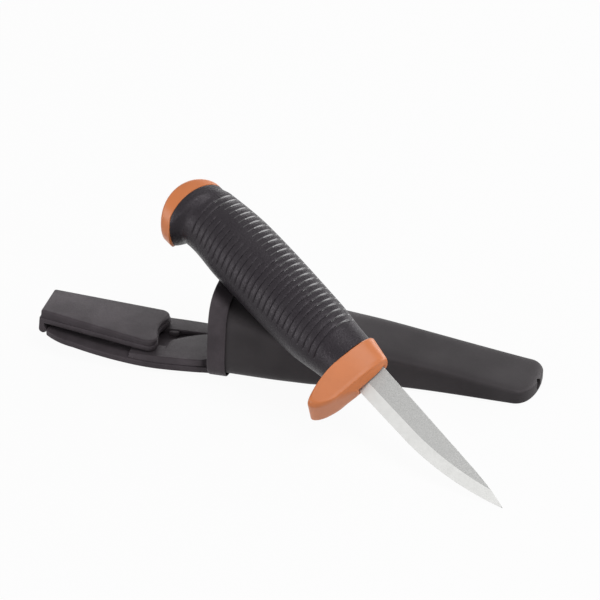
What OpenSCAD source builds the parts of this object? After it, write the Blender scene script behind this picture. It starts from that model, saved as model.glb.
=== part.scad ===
// Fixed-blade craft knife lying across its moulded belt sheath.
// Frame: +Z up, the floor is z = 0, the sheath lies along X with its tip at +X,
// and the origin is in the middle of the collar's flat foot.

/* [Blade] */
// Length of the blade from the guard to the point
blade_length = 74; // [55:1:100]
// Height of the blade at the guard, from spine to edge
blade_height = 14; // [10:0.5:20]
// Thickness of the steel
blade_thickness = 2.5; // [1.6:0.1:4]
// Width of each ground bevel
bevel_width = 4.9; // [3:0.1:7]
// How far the straight part of the edge runs from the guard
straight_edge = 30; // [15:1:40]
// How far the spine leans towards the edge by the point
spine_fall = 6.8; // [5:0.1:9]
// Length of the hidden tang
tang_length = 84; // [50:1:95]
// Height of the tang
tang_height = 9; // [6:0.5:12]

/* [Handle] */
// Length of the handle from the front of the guard to the butt
handle_length = 118.3; // [100:0.1:140]
// Length of the guard along the knife
guard_depth = 12.5; // [8:0.5:16]
// Length of the guard across the edge
guard_length = 39.2; // [30:0.2:42]
// Thickness of the guard
guard_thickness = 21.8; // [18:0.2:26]
// How far the guard is set towards the edge
guard_offset = 7.8; // [4:0.1:10]
// Height of the grip at the butt
butt_height = 32.2; // [28:0.1:38]
// Thickness of the grip at the butt
butt_thickness = 27.7; // [24:0.1:34]
// Height of the grip at its waist
waist_height = 28.2; // [25:0.1:32]
// Thickness of the grip at its waist
waist_thickness = 24.5; // [22:0.5:28]
// Height of the grip at its belly
belly_height = 30.7; // [27:0.1:36]
// Thickness of the grip at its belly
belly_thickness = 26.2; // [22:0.2:30]
// Height of the grip where it meets the guard
neck_height = 24.4; // [20:0.1:28]
// Thickness of the grip where it meets the guard
neck_thickness = 22; // [18:0.5:26]
// Thickness of the butt cap on the middle line
cap_thickness = 6.2; // [4.5:0.1:9]
// Radius of the rounded butt, seen from the side
butt_radius = 24.9; // [21:0.1:40]
// Radius of the seam between cap and grip, seen from the side
seam_radius = 48; // [30:0.5:70]

/* [Grip grooves] */
// Distance from groove to groove
groove_pitch = 3.02; // [2.6:0.02:3.2]
// Width of a groove
groove_width = 1.1; // [0.6:0.1:1.6]
// Depth of a groove
groove_depth = 0.8; // [0.3:0.1:1.2]
// Distance from the guard's front to the first groove
groove_start = 24; // [20:0.1:26]

/* [Sheath] */
// Length of the sheath from the rim to the tip
sheath_length = 139.2; // [120:0.2:170]
// Wall of the sheath
sheath_wall = 2.2; // [1.5:0.1:3]
// Width of the sheath at the mouth
mouth_width = 41; // [38:0.5:46]
// Height of the sheath at the mouth
mouth_height = 36.6; // [32:0.2:42]
// Width at the end of the handle pocket
pocket_width = 38; // [32:0.5:42]
// Height at the end of the handle pocket
pocket_height = 24.4; // [18:0.2:30]
// Length of the handle pocket
pocket_length = 43; // [30:1:55]
// Where the blade tube starts
tube_start = 70; // [60:1:90]
// Width of the blade tube
tube_width = 27; // [20:0.5:30]
// Height of the blade tube where it starts
tube_height = 20.6; // [14:0.2:24]
// Height of the blade tube at the tip
tip_height = 8.4; // [7:0.1:14]
// How far the blade tube is set towards the spine side
tube_offset = 5; // [0:0.1:7]
// Bore of the drain hole
drain_bore = 4.6; // [2:0.1:5]

/* [Collar and hanger] */
// Wall of the collar at its two sides
collar_side = 1.1; // [0.8:0.1:3]
// Wall of the collar above and below the mouth
collar_roof = 1.4; // [1:0.1:3]
// Length of the collar along the sheath
collar_length = 8; // [5:0.5:12]
// Length of the hanger from the collar to the clip's bend
hanger_length = 75; // [60:1:90]
// Thickness of the hanger plate
plate_thickness = 2.6; // [2:0.1:4]
// Width of the hanger plate at its widest
plate_width = 35.8; // [32:0.2:40]
// Height of the rails
rail_height = 6.9; // [5:0.1:7]
// Length of the rails from the collar
rail_length = 35; // [30:1:45]
// Width of the channel between the rails
channel_width = 13.5; // [8:0.5:18]

/* [Belt clip] */
// Length of the clip bar
clip_length = 51; // [40:1:60]
// Thickness of the clip bar
clip_thickness = 5.6; // [3:0.1:6]
// Width of the bar at the bend
clip_bend_width = 19.8; // [14:0.2:24]
// Width of the bar at its free end
clip_end_width = 28; // [22:0.2:32]
// Slope of the bar
clip_slope = 6; // [3:0.5:10]

/* [Placing the knife] */
// Place of the guard's front on the floor plan
knife_place = [76.9, -42.7];
// Distance from the guard's front to where the grip rests on the collar
rest_run = 80.6; // [76:0.1:80.6]
// Turn of the knife about its own length, its dip to the point and its turn in plan
knife_turn = [25.9, 20.1, -32.9];

/* [Hidden] */
$fn = 64;

// Colours of the finishes
steel_colour = [0.72, 0.72, 0.72];
orange_colour = [0.78, 0.44, 0.24];
rubber_colour = [0.16, 0.155, 0.165];
plastic_colour = [0.13, 0.125, 0.135];

// Fits and small clearances
mould_gap = 0.05;      // between mouldings shot onto each other
collar_gap = 0.1;      // between the collar and the mouth it is pressed over
turn_gap = 0.3;        // between the clip and the holder it bends on
skin = 0.01;           // thickness of the slices that a hull joins
reach = handle_length + sheath_length; // longer than any piece

// Points round one section of a loft
ring_points = 40;
handle_square = 2.15;  // exponent of the handle's oval sections
guard_square = [14, 3]; // finger end and spine end of the guard
sheath_square = 3.8;   // boxier sections of the sheath and its collar

function ease(t) = let (k = min(max(t, 0), 1)) k * k * (3 - 2 * k);
function mix(a, b, t) = a + (b - a) * t;
function power(s, n) = sign(s) * pow(abs(s), 2 / n);
function arc(centre, r, from, to, steps) =
    [for (i = [0:steps]) let (a = mix(from, to, i / steps)) centre + r * [cos(a), sin(a)]];

// Smooth curve through [place, value] pairs
function steepness(k, i) =
    i == 0 || i == len(k) - 1 ? 0 : (k[i + 1][1] - k[i - 1][1]) / (k[i + 1][0] - k[i - 1][0]);
function curve(x, k, i = 0) =
    i < len(k) - 2 && x > k[i + 1][0] ? curve(x, k, i + 1)
    : let (d = k[i + 1][0] - k[i][0], t = min(max((x - k[i][0]) / d, 0), 1))
      (1 + 2 * t) * pow(1 - t, 2) * k[i][1] + t * pow(1 - t, 2) * d * steepness(k, i)
      + t * t * (3 - 2 * t) * k[i + 1][1] + t * t * (t - 1) * d * steepness(k, i + 1);

// Solid through rings of points, each ring lying across X
module loft(rings) {
    n = len(rings[0]);
    last = len(rings) - 1;
    polyhedron(
        points = [for (r = rings) each r],
        faces = concat(
            [[for (i = [0:n - 1]) i]],
            [for (k = [0:last - 1], i = [0:n - 1])
                let (j = (i + 1) % n) each
                [[k * n + i, (k + 1) * n + i, (k + 1) * n + j], [k * n + i, (k + 1) * n + j, k * n + j]]],
            [[for (i = [n - 1:-1:0]) last * n + i]]));
}

// Angles of a ring's points, with a flat facet on top and at the bottom
function ring_angle(i) = (i + 0.5) * 360 / ring_points;

// The knife, along +X to its point, with its spine towards +Y and its shown side up
grip_back = -handle_length;
butt_run = 9.4;        // from the butt's end to its widest place
waist_run = 13.6;      // from the butt's end to the waist
belly_run = 36.8;      // from the butt's end to the belly
fore_run = 35;         // from the guard's front to the fore part of the grip
butt_x = grip_back + butt_run;
waist_x = grip_back + waist_run;
belly_x = grip_back + belly_run;
fore_x = -fore_run;
neck_x = -guard_depth;
fore_height = 29.3;
fore_thickness = 25.6;
height_keys = [[butt_x, butt_height], [waist_x, waist_height], [belly_x, belly_height],
               [fore_x, fore_height], [neck_x, neck_height]];
thick_keys = [[butt_x, butt_thickness], [waist_x, waist_thickness], [belly_x, belly_thickness],
              [fore_x, fore_thickness], [neck_x, neck_thickness]];
butt_hook = 3.5;       // how far the butt is set towards the edge side
waist_set = 0.3;       // the same of the waist, the fore part and the neck
fore_set = 1.5;
neck_set = 1.3;
set_keys = [[butt_x, -butt_hook], [waist_x, -waist_set], [belly_x, 0],
            [fore_x, -fore_set], [neck_x, -neck_set]];

// Grooves: only on the two sides, with smooth strips along the spine and the finger side
smooth_butt = 15;      // smooth length of the grip at the butt
groove_count = floor((handle_length - groove_start - smooth_butt) / groove_pitch) + 1;
groove_from = 20;      // angles from the spine at which a groove starts and ends
groove_to = 156;
groove_fade = 8;
groove_lean = 3.2;     // how far a groove runs towards the guard by the finger side
panel_angle = 76;      // bare panel on the shown side
panel_half = 13.5;
panel_first = 14;      // grooves, counted from the guard, that the panel interrupts
panel_last = 24;
function on_side(a) = let (s = a > 180 ? 360 - a : a)
    ease((s - groove_from) / groove_fade) * ease((groove_to - s) / groove_fade);
function off_panel(a, k) = k < panel_first || k > panel_last || abs(a - panel_angle) > panel_half ? 1 : 0;

function handle_ring(place, cut = 0, k = -1, lean = 0) = [for (i = [0:ring_points - 1])
    let (a = ring_angle(i), d = k < 0 ? cut : groove_depth * on_side(a) * off_panel(a, k))
    let (x = place + lean * pow((1 - cos(a)) / 2, 3))
    [x, curve(x, set_keys) + (curve(x, height_keys) / 2 - d) * power(cos(a), handle_square),
     (curve(x, thick_keys) / 2 - d) * power(sin(a), handle_square)]];

butt_steps = 9;
butt_edge = 2.2;       // rounding of the cap's edge
edge_steps = 4;
module handle_form(grooved) {
    groove_x = [for (k = [groove_count - 1:-1:0]) -groove_start - k * groove_pitch];
    smooth_end = groove_x[0] - groove_pitch / 2;
    edge_x = grip_back + butt_edge;
    loft(concat(
        [for (i = [0:edge_steps - 1]) let (a = 90 * i / edge_steps)
            handle_ring(edge_x - butt_edge * cos(a), butt_edge * (1 - sin(a)))],
        [for (i = [0:butt_steps]) handle_ring(mix(edge_x, smooth_end, i / butt_steps))],
        !grooved ? [] : [for (k = [0:groove_count - 1], s = [-1:1])
            let (x = groove_x[k] + s * groove_width / 2, index = s == 0 ? groove_count - 1 - k : -1)
            handle_ring(x, 0, index, groove_lean)],
        [for (i = [1:3]) handle_ring(mix(-groove_start + groove_width, neck_x, i / 3))]));
}

// The rounded end of the butt and the seam between grip and cap, as cylinders across the handle
seam_set = 1.3;        // how far the seam's middle is set towards the edge side
module ahead_of(x, r, set) {
    translate([x + r, -set, -reach / 2]) {
        cylinder(r = r, h = reach, $fn = 128);
        translate([0, -reach / 2, 0]) cube([reach, reach, reach]);
    }
}

// Core that the grip is shot onto
core_height = 17;
core_thickness = 11;
module core_bar(grow = 0) {
    r = core_thickness / 2;
    side = core_height / 2 - r;
    long = handle_length - guard_depth - cap_thickness + 2 * grow;
    translate([neck_x + grow, 0, 0]) rotate([0, -90, 0]) linear_extrude(long) {
        square([core_thickness + 2 * grow, 2 * side], center = true);
        for (s = [-1, 1]) translate([0, s * side]) circle(r + grow);
    }
}

// Tang with key holes that the core grips
key_bore = 4;
key_places = [0.4, 0.8];
module tang(grow = 0) {
    difference() {
        translate([-tang_length - grow, -tang_height / 2 - grow, -blade_thickness / 2 - grow])
            cube([tang_length + 2, tang_height + 2 * grow, blade_thickness + 2 * grow]);
        for (p = key_places) translate([-tang_length * p, 0, 0])
            cylinder(d = key_bore - 2 * grow, h = 2 * blade_thickness, center = true);
    }
}

// Slot in the guard's front that takes the blade's heel
slot_gap = 0.4;        // room round the blade where it leaves the guard
slot_depth = 1.8;

// Side view of the blade: straight spine and edge, each with an arc to the point
heel_spine = spine_fall;
heel_x = -slot_depth + mould_gap;
heel_edge = heel_spine - blade_height;
edge_dip = 1.1;        // how much lower the belly is than the heel
belly_y = heel_edge - edge_dip;
run = blade_length - straight_edge;
edge_radius = (pow(run, 2) + pow(belly_y, 2)) / (-2 * belly_y);
edge_turn = asin(run / edge_radius);
spine_straight = 0.76; // share of the spine that is straight
spine_x = blade_length * spine_straight;
spine_y = heel_spine * 0.41;
arc_steps = 16;
tip_bevel = 0.3;       // share of the bevel's width that is left at the point
function edge_line(inset) = concat(
    [[heel_x, heel_edge + inset]],
    [for (i = [0:arc_steps])
        let (t = i / arc_steps, a = edge_turn * t - 90, r = edge_radius - inset * mix(1, tip_bevel, t * t))
        [straight_edge + r * cos(a), belly_y + edge_radius + r * sin(a)]]);
function spine_line() = [for (i = [0:arc_steps / 2])
    let (t = i / (arc_steps / 2)) [mix(spine_x, blade_length, t),
        pow(1 - t, 2) * spine_y + 2 * t * (1 - t) * (spine_y * 0.72)]];
module blade_side(inset = 0) {
    intersection() {
        polygon(concat([[heel_x, heel_spine]], spine_line(),
            [for (i = [arc_steps + 1:-1:0]) edge_line(0)[i]]));
        polygon(concat([[heel_x, reach]], [[reach, reach]], [[reach, edge_line(inset)[arc_steps + 1][1]]],
            [for (i = [arc_steps + 1:-1:0]) edge_line(inset)[i]]));
    }
}

module blade_at_home() {
    edge_thickness = 0.1;
    hull() {
        translate([0, 0, -edge_thickness / 2]) linear_extrude(edge_thickness) blade_side();
        translate([0, 0, -blade_thickness / 2]) linear_extrude(blade_thickness) blade_side(bevel_width);
    }
    tang();
}

guard_back = 30;       // radius of its back towards the finger end, seen from the side
back_start = 2.2;      // where that curve starts, from the guard's middle
end_back = [4.7, 0.9];  // back corner of the finger end, from the guard's back and its end
end_fore = [4.2, 4.1]; // front corner of the finger end, from the guard's front and its end
end_edge = 0.8;        // rounding of those corners
guard_lean = [0.05, 0.18]; // how much its finger end and spine end lean in towards the front
guard_slope = 0.37;    // how much its two sides lean in towards the front
front_edge = 0.6;      // rounding of the front edge
front_dome = 1.9;      // how far the domed front stands out of its edge
dome_steps = 5;
function guard_ring(x, half, cut) = [for (i = [0:ring_points - 1])
    let (a = ring_angle(i), end = cos(a) < 0 ? 0 : 1, n = guard_square[end])
    [x, -guard_offset + (guard_length / 2 - cut - guard_lean[end] * (x + guard_depth)) * power(cos(a), n),
     half * power(sin(a), n)]];
module guard() {
    low = -guard_offset - guard_length / 2;
    sweep = asin((guard_length / 2 - back_start - end_back[1]) / guard_back);
    back_half = guard_thickness / 2;
    front_half = back_half - guard_slope * (guard_depth - front_dome);
    intersection() {
        loft(concat(
            [guard_ring(neck_x, back_half - 0.2, 0.2), guard_ring(neck_x + front_edge, back_half, 0)],
            [guard_ring(-front_dome - front_edge, front_half, 0)],
            [guard_ring(-front_dome, front_half - front_edge / 2, front_edge / 2)],
            [for (k = [1:dome_steps]) let (t = 1 - k / (dome_steps + 1))
                guard_ring(-front_dome * t * t, front_half * t, front_half * (1 - t))]));
        translate([0, 0, -reach / 2]) linear_extrude(reach) hull() {
            translate([neck_x + guard_back, -guard_offset - back_start])
                polygon(arc([0, 0], guard_back, 180, 180 + sweep, 8));
            translate([neck_x + end_back[0], low + end_back[1]]) circle(end_edge, $fn = 24);
            translate([-end_fore[0], low + end_fore[1]]) circle(end_edge, $fn = 24);
            translate([neck_x, -guard_offset]) square([guard_depth, guard_length / 2]);
        }
    }
}

module handle_core_at_home() {
    difference() {
        union() {
            guard();
            core_bar();
            difference() {
                intersection() {
                    handle_form(false);
                    ahead_of(grip_back, butt_radius, butt_hook);
                }
                ahead_of(grip_back + cap_thickness, seam_radius, seam_set);
            }
        }
        tang(mould_gap);
        translate([-slot_depth, heel_edge - slot_gap, -blade_thickness / 2 - slot_gap])
            cube([reach, blade_height + 2 * slot_gap, blade_thickness + 2 * slot_gap]);
    }
}

module grip_sleeve_at_home() {
    difference() {
        intersection() {
            handle_form(true);
            ahead_of(grip_back + cap_thickness + mould_gap, seam_radius, seam_set);
        }
        core_bar(mould_gap);
    }
}

// Sizes of the sheath run from the rim of the collar; the origin is under the collar's middle
module set() {
    translate([-collar_length / 2, 0, 0]) children();
}
module lying() {
    set() translate([knife_place[0], knife_place[1], knife_height]) rotate(knife_turn) children();
}

// The sheath: sections along X, their lower line on the floor
rim_tilt = 0.065;      // how far the rim leans back for each millimetre of height
collar_foot = 0.3;     // how much of the collar's lower side is cut flat
collar_width = mouth_width + 2 * (collar_gap + collar_side);
collar_height = mouth_height + 2 * (collar_gap + collar_roof);
body_rise = collar_gap + collar_roof - collar_foot; // height of the mouth's lower side over the floor

// The grip lies on the collar's top, so its underside there sets the height of the knife
collar_top = collar_height - collar_foot;
grip_under = norm([belly_height * sin(knife_turn[0]), belly_thickness * cos(knife_turn[0])]) / 2;
knife_height = collar_top + grip_under / cos(knife_turn[1]) - rest_run * sin(knife_turn[1]);

pocket_set = 1;        // how far the pocket's end is set towards the spine side
tip_near = [10, 20];   // rounding of the tip in plan, on the edge side
tip_far = [5.5, 5.5];  // rounding of the tip in plan, on the spine side
tip_soft = 2.4;        // rounding of the tip, seen from the side
tip_width = tube_width - 1;
width_keys = [[0, mouth_width], [pocket_length, pocket_width],
              [tube_start, tube_width], [sheath_length, tip_width]];
height_of = [[0, mouth_height], [pocket_length, pocket_height],
             [tube_start, tube_height], [sheath_length, tip_height],
             [2 * sheath_length - tube_start, 2 * tip_height - tube_height]];
set_of = [[0, 0], [pocket_length, pocket_set],
          [tube_start, tube_offset], [sheath_length, tube_offset - 0.5]];
function floor_of(x) = body_rise * (1 - ease(x / tube_start));
function tip_cut(x, length, r) = let (t = min(max((x - length + r) / r, 0), 1)) 1 - sqrt(1 - t * t);
function oval(x, width, height, y, z, lean) = [for (i = [0:ring_points - 1]) let (a = ring_angle(i))
    let (h = z + height / 2 + height / 2 * power(sin(a), sheath_square))
    [x + lean * h, y + width / 2 * power(cos(a), sheath_square), h]];
function body_ring(x, wall, length) = let (
        half = curve(x, width_keys) / 2 - wall,
        near = (tip_near[1] - wall) * tip_cut(x, length, tip_near[0] - wall),
        far = (tip_far[1] - wall) * tip_cut(x, length, tip_far[0] - wall),
        soft = tip_soft * tip_cut(x, length, tip_far[0] - wall))
    oval(x, 2 * half - near - far, curve(x, height_of) - 2 * wall - 2 * soft,
        curve(x, set_of) + (near - far) / 2, floor_of(x) + wall + soft,
        rim_tilt * (1 - x / sheath_length));
pocket_steps = 4;
shoulder_steps = 7;
tube_steps = 4;
tip_steps = 8;
module body_form(wall, from, length) {
    round_x = length - tip_near[0] + wall;
    loft(concat(
        [for (i = [0:pocket_steps]) body_ring(mix(from, pocket_length, i / pocket_steps), wall, length)],
        [for (i = [1:shoulder_steps])
            body_ring(mix(pocket_length, tube_start, i / shoulder_steps), wall, length)],
        [for (i = [1:tube_steps]) body_ring(mix(tube_start, round_x, i / tube_steps), wall, length)],
        [for (i = [1:tip_steps])
            body_ring(mix(round_x, length, sin(90 * i / tip_steps) * 0.98), wall, length)]));
}

// Stretch of the same form at the mouth, to cut the collar with
module mouth_form(wall, from) {
    loft([for (i = [0:2]) body_ring(mix(from, pocket_length, i / pocket_steps), wall, sheath_length)]);
}

mouth_back = 0.8;      // how far the mouth stands back inside the collar
module sheath_body() {
    color(plastic_colour) set() difference() {
        body_form(0, mouth_back, sheath_length);
        body_form(sheath_wall, -2, sheath_length - sheath_wall);
        translate([sheath_length - 3 * sheath_wall, tube_offset - 1.2, tip_height / 2]) rotate([0, 90, 0])
            cylinder(d = drain_bore, h = 6 * sheath_wall);
    }
}

// Belt holder: collar, hanger plate that curves up to the bend, rails and notch
collar_edge = 0.7;
lip_cut = 0.2;         // how far the mouth's opening runs out past the rim
function collar_ring(x, cut) =
    oval(x, collar_width - 2 * cut, collar_height - 2 * cut, 0, cut - collar_foot, rim_tilt);
plate_floor = 2.2;     // height of the plate's flat part over the floor
plate_flat = 10;       // flat length of the plate at the collar
hanger_rise = 6;       // rise of the plate at the bend
plate_bow = 235;       // radius of the plate's long sides in plan
widest = 27;           // distance from the collar at which the plate is widest
rail_draft = 2.2;      // how far the rails lean in at each side
rail_inset = 0.3;      // how far the rails' foot stands in from the plate's edge
rail_sink = 1.6;       // height of the rails' foot over the plate's lower side
stop_height = 1.8;     // height of the small stop in the channel
stop_size = [4.5, 3];  // its length and width
stop_run = 23;         // distance from the collar to its far end
stop_bite = 1;         // how deep it runs into the rail and the plate
rise_run = hanger_length - plate_flat;
rise_radius = (pow(rise_run, 2) + pow(hanger_rise, 2)) / (2 * hanger_rise);
plate_top = plate_floor + plate_thickness;
bend_wall = 1.8;       // wall of the clip's bend
hinge = [-hanger_length, 0, plate_floor + hanger_rise + plate_thickness / 2];

end_bow = 24;          // radius of the plate's sides near the bend
end_run = 15;          // length of that rounded stretch
plate_steps = 24;
end_x = end_run - hanger_length;
function bow(half, r, d) = half - r + sqrt(r * r - d * d);
function half_at(x) = x > end_x ? bow(plate_width / 2, plate_bow, x + widest)
    : bow(bow(plate_width / 2, plate_bow, end_x + widest), end_bow, x - end_x);
function rise_at(x) = let (d = min(x + plate_flat, 0)) plate_floor - bow(0, rise_radius, d);
plate_end = 0.5;
plate_xs = [for (i = [0:plate_steps]) mix(-hanger_length, plate_end, i / plate_steps)];
module leaf(cut = 0) {
    polygon(concat([for (x = plate_xs) [x, half_at(x) - cut]],
        [for (i = [plate_steps:-1:0]) [plate_xs[i], cut - half_at(plate_xs[i])]]));
}

module plate_side() {
    polygon(concat([for (x = plate_xs) [x, rise_at(x)]],
        [for (i = [plate_steps:-1:0]) [plate_xs[i], rise_at(plate_xs[i]) + plate_thickness]]));
}

notch_tip = [-4, 7];   // point of the notch at the collar
notch_mouth = -20;     // where the channel ends and the notch starts
module notch() {
    side = channel_width / 2;
    translate([-rail_length - 1, -side]) square([rail_length + 1 + notch_mouth, channel_width]);
    polygon(concat(
        [[notch_mouth - 1, side], [notch_mouth - 1, -side / 4]],
        [for (i = [0:8]) let (t = i / 8)
            [mix(notch_mouth, notch_tip[0], t), mix(-side / 4, notch_tip[1], 1 - pow(1 - t, 1.6))]]));
}

module belt_holder() {
    color(plastic_colour) set() difference() {
        union() {
            loft([collar_ring(0, collar_edge), collar_ring(collar_edge, 0),
                  collar_ring(collar_length - collar_edge, 0), collar_ring(collar_length, collar_edge)]);
            intersection() {
                rotate([90, 0, 0]) linear_extrude(reach, center = true) plate_side();
                linear_extrude(reach, center = true) leaf();
            }
            difference() {
                intersection() {
                    hull() {
                        translate([0, 0, plate_floor + rail_sink]) linear_extrude(skin) leaf(rail_inset);
                        translate([0, 0, rail_height - skin]) linear_extrude(skin) leaf(rail_draft);
                    }
                    translate([-rail_length, -reach / 2, 0]) cube([reach, reach, reach]);
                }
                linear_extrude(reach) notch();
            }
            translate([-stop_run, channel_width / 2 + stop_bite - stop_size[1], plate_top - stop_bite])
                cube([stop_size[0], stop_size[1], stop_height + stop_bite]);
        }
        mouth_form(-collar_gap, mouth_back - collar_gap);
        mouth_form(sheath_wall, -lip_cut);
        translate([-reach / 2, -reach / 2, -reach]) cube(reach);
        translate(hinge) rotate([90, 0, 0]) cylinder(r = bend_wall + turn_gap, h = reach, center = true);
    }
}

// Belt clip, in its own frame at the bend: X along the bar, Z away from the plate
clip_under = 3.1;      // height of the bar's underside over the bend
clip_thin = 1.5;       // how much thinner the bar is at its free end
clip_step = 0.5;       // step along the bar's sides
end_wave = 1.9;        // depth of the shallow dip in the free end
end_round = 3.6;       // rounding of the free end's corners
clip_top = clip_under + clip_thickness;
module clip_plan(cut) {
    half = clip_end_width / 2 - cut;
    flat = half - end_round;
    tip = clip_length - cut;
    polygon(concat(
        [[-bend_wall - 1, clip_bend_width / 2 - cut], [-bend_wall - 1, -clip_bend_width / 2 + cut]],
        arc([tip - end_round, -flat], end_round, -90, 0, 6),
        [for (i = [1:11]) let (y = mix(-flat, flat, i / 12))
            [tip - end_wave / 2 * (1 + cos(180 * y / flat)), y]],
        arc([tip - end_round, flat], end_round, 0, 90, 6)));
}
module clip_side() {
    corner = 1.6;
    circle(bend_wall);
    translate([-bend_wall, 0]) square([bend_wall, clip_top - corner]);
    translate([-bend_wall + corner, clip_top - corner]) circle(corner);
    polygon([[-bend_wall, clip_under], [clip_length, clip_under], [clip_length, clip_top - clip_thin],
             [-bend_wall + corner, clip_top], [-bend_wall, clip_top - corner]]);
}
module belt_clip() {
    split = clip_under + 0.4 * clip_thickness;
    color(plastic_colour) set() translate(hinge) rotate([0, clip_slope, 0]) intersection() {
        rotate([90, 0, 0]) linear_extrude(reach, center = true) clip_side();
        union() {
            translate([0, 0, -reach]) linear_extrude(reach + split) clip_plan(0);
            linear_extrude(reach) clip_plan(clip_step);
        }
    }
}

module blade() { color(steel_colour) lying() blade_at_home(); }
module handle_core() { color(orange_colour) lying() handle_core_at_home(); }
module grip_sleeve() { color(rubber_colour) lying() grip_sleeve_at_home(); }

blade();
handle_core();
grip_sleeve();
sheath_body();
belt_holder();
belt_clip();
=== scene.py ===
import math

import bmesh
import bpy
from mathutils import Matrix, Vector


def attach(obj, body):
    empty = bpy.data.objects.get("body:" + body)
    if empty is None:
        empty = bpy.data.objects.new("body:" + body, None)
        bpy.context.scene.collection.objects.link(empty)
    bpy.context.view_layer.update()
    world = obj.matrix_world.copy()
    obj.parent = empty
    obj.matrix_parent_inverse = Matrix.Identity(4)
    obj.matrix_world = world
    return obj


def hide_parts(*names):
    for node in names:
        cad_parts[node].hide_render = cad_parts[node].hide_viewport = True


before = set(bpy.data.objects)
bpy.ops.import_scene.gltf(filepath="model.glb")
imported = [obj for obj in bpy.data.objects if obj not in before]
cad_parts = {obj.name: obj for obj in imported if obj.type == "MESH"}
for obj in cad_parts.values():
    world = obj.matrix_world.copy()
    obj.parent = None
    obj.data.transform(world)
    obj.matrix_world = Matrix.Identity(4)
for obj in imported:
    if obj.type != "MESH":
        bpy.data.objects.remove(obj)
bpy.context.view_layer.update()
print("stage: frame loaded")

# Sizes of pieces are in millimetres and degrees, and settle places each piece in metres.
# Finishes, floor, lamps and camera are in metres.
millimetre = Matrix.Scale(0.001, 4)
lying = {
    "sheath": (-4.0, 0.0, 0.0), "knife": (72.9, -42.7, 26.04),
    "heading": -32.9, "pitch": 20.1, "roll": 25.9,  # how the knife lies across the sheath
}
sheathPlace = millimetre @ Matrix.Translation(lying["sheath"])
knifePlace = (
    millimetre
    @ Matrix.Translation(lying["knife"])
    @ Matrix.Rotation(math.radians(lying["heading"]), 4, "Z")
    @ Matrix.Rotation(math.radians(lying["pitch"]), 4, "Y")
    @ Matrix.Rotation(math.radians(lying["roll"]), 4, "X")
)


def mix(a, b, t):
    return a + (b - a) * t


def ease(t):
    t = min(max(t, 0.0), 1.0)
    return t * t * (3 - 2 * t)


def squarer(s, square):  # 2 gives a true oval, more a squarer one
    return math.copysign(abs(s) ** (2 / square), s)


def bow(half, radius, d):  # half width of an arc, d away from its widest place
    return half - radius + math.sqrt(max(radius * radius - d * d, 0.0))


def throughKeys(x, keys):  # smooth line through pairs of place and value
    last = len(keys) - 1
    i = 0
    while i < last - 1 and x > keys[i + 1][0]:
        i += 1

    def slope(k):
        if k in (0, last):
            return 0.0
        return (keys[k + 1][1] - keys[k - 1][1]) / (keys[k + 1][0] - keys[k - 1][0])

    d = keys[i + 1][0] - keys[i][0]
    t = min(max((x - keys[i][0]) / d, 0.0), 1.0)
    rise = (1 + 2 * t) * (1 - t) ** 2 * keys[i][1] + t * t * (3 - 2 * t) * keys[i + 1][1]
    return rise + d * (t * (1 - t) ** 2 * slope(i) + t * t * (t - 1) * slope(i + 1))


def onlyThis(piece):
    bpy.ops.object.select_all(action="DESELECT")
    piece.select_set(True)
    bpy.context.view_layer.objects.active = piece


def startRing(name, count):
    bpy.ops.object.select_all(action="DESELECT")
    bpy.ops.mesh.primitive_circle_add(vertices=count, radius=10.0)  # any radius, setRing places the points
    piece = bpy.context.object
    piece.name = piece.data.name = name
    bpy.ops.object.mode_set(mode="EDIT")
    points = bmesh.from_edit_mesh(piece.data)
    turn = points.verts.layers.float.new("turn")  # where a point is in its ring, from 0 to 1
    for i, v in enumerate(points.verts):
        v[turn] = (i + 0.5) / count
    bmesh.update_edit_mesh(piece.data)
    return piece


def setRing(piece, spot):
    points = bmesh.from_edit_mesh(piece.data)
    turn = points.verts.layers.float["turn"]
    for v in points.verts:
        if v.select:
            v.co = spot(v[turn])
    bmesh.update_edit_mesh(piece.data)


def pullRings(name, count, spots, ends="closed"):  # each ring is extruded from the one before
    piece = startRing(name, count)
    setRing(piece, spots[0])
    for spot in spots[1:]:
        bpy.ops.mesh.extrude_region_move()
        setRing(piece, spot)
    bpy.ops.mesh.select_all(action="SELECT")
    if ends == "closed":
        bpy.ops.mesh.fill_holes(sides=0)
    if ends == "joined":
        selectEdges(piece, lambda e: e.is_boundary)
        bpy.ops.mesh.bridge_edge_loops()
    bpy.ops.mesh.select_all(action="SELECT")
    bpy.ops.mesh.normals_make_consistent(inside=False)
    if bmesh.from_edit_mesh(piece.data).calc_volume(signed=True) < 0:  # a thin piece can come out inward
        bpy.ops.mesh.flip_normals()
    bpy.ops.object.mode_set(mode="OBJECT")
    return piece


def selectEdges(piece, wanted):
    bpy.ops.mesh.select_mode(type="EDGE")
    bpy.ops.mesh.select_all(action="DESELECT")
    edges = bmesh.from_edit_mesh(piece.data)
    for e in edges.edges:
        e.select_set(wanted(e))
    bmesh.update_edit_mesh(piece.data)


def softQuad(share, perCorner, corners, radius):  # four corners, each rounded
    k = min(int(share * 4), 3)
    t = (share * 4 - k - 0.5 / perCorner) / (1 - 1 / perCorner)
    c, before, after = Vector(corners[k]), Vector(corners[k - 1]), Vector(corners[(k + 1) % 4])
    a = c + (before - c).normalized() * radius
    b = c + (after - c).normalized() * radius
    return a * (1 - t) ** 2 + c * 2 * t * (1 - t) + b * t * t


def cutWith(piece, tool):
    onlyThis(piece)
    cut = piece.modifiers.new("cut", "BOOLEAN")
    cut.operation = "DIFFERENCE"
    cut.solver = "EXACT"
    cut.object = tool
    bpy.ops.object.modifier_apply(modifier=cut.name)
    bpy.data.objects.remove(tool)


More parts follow.
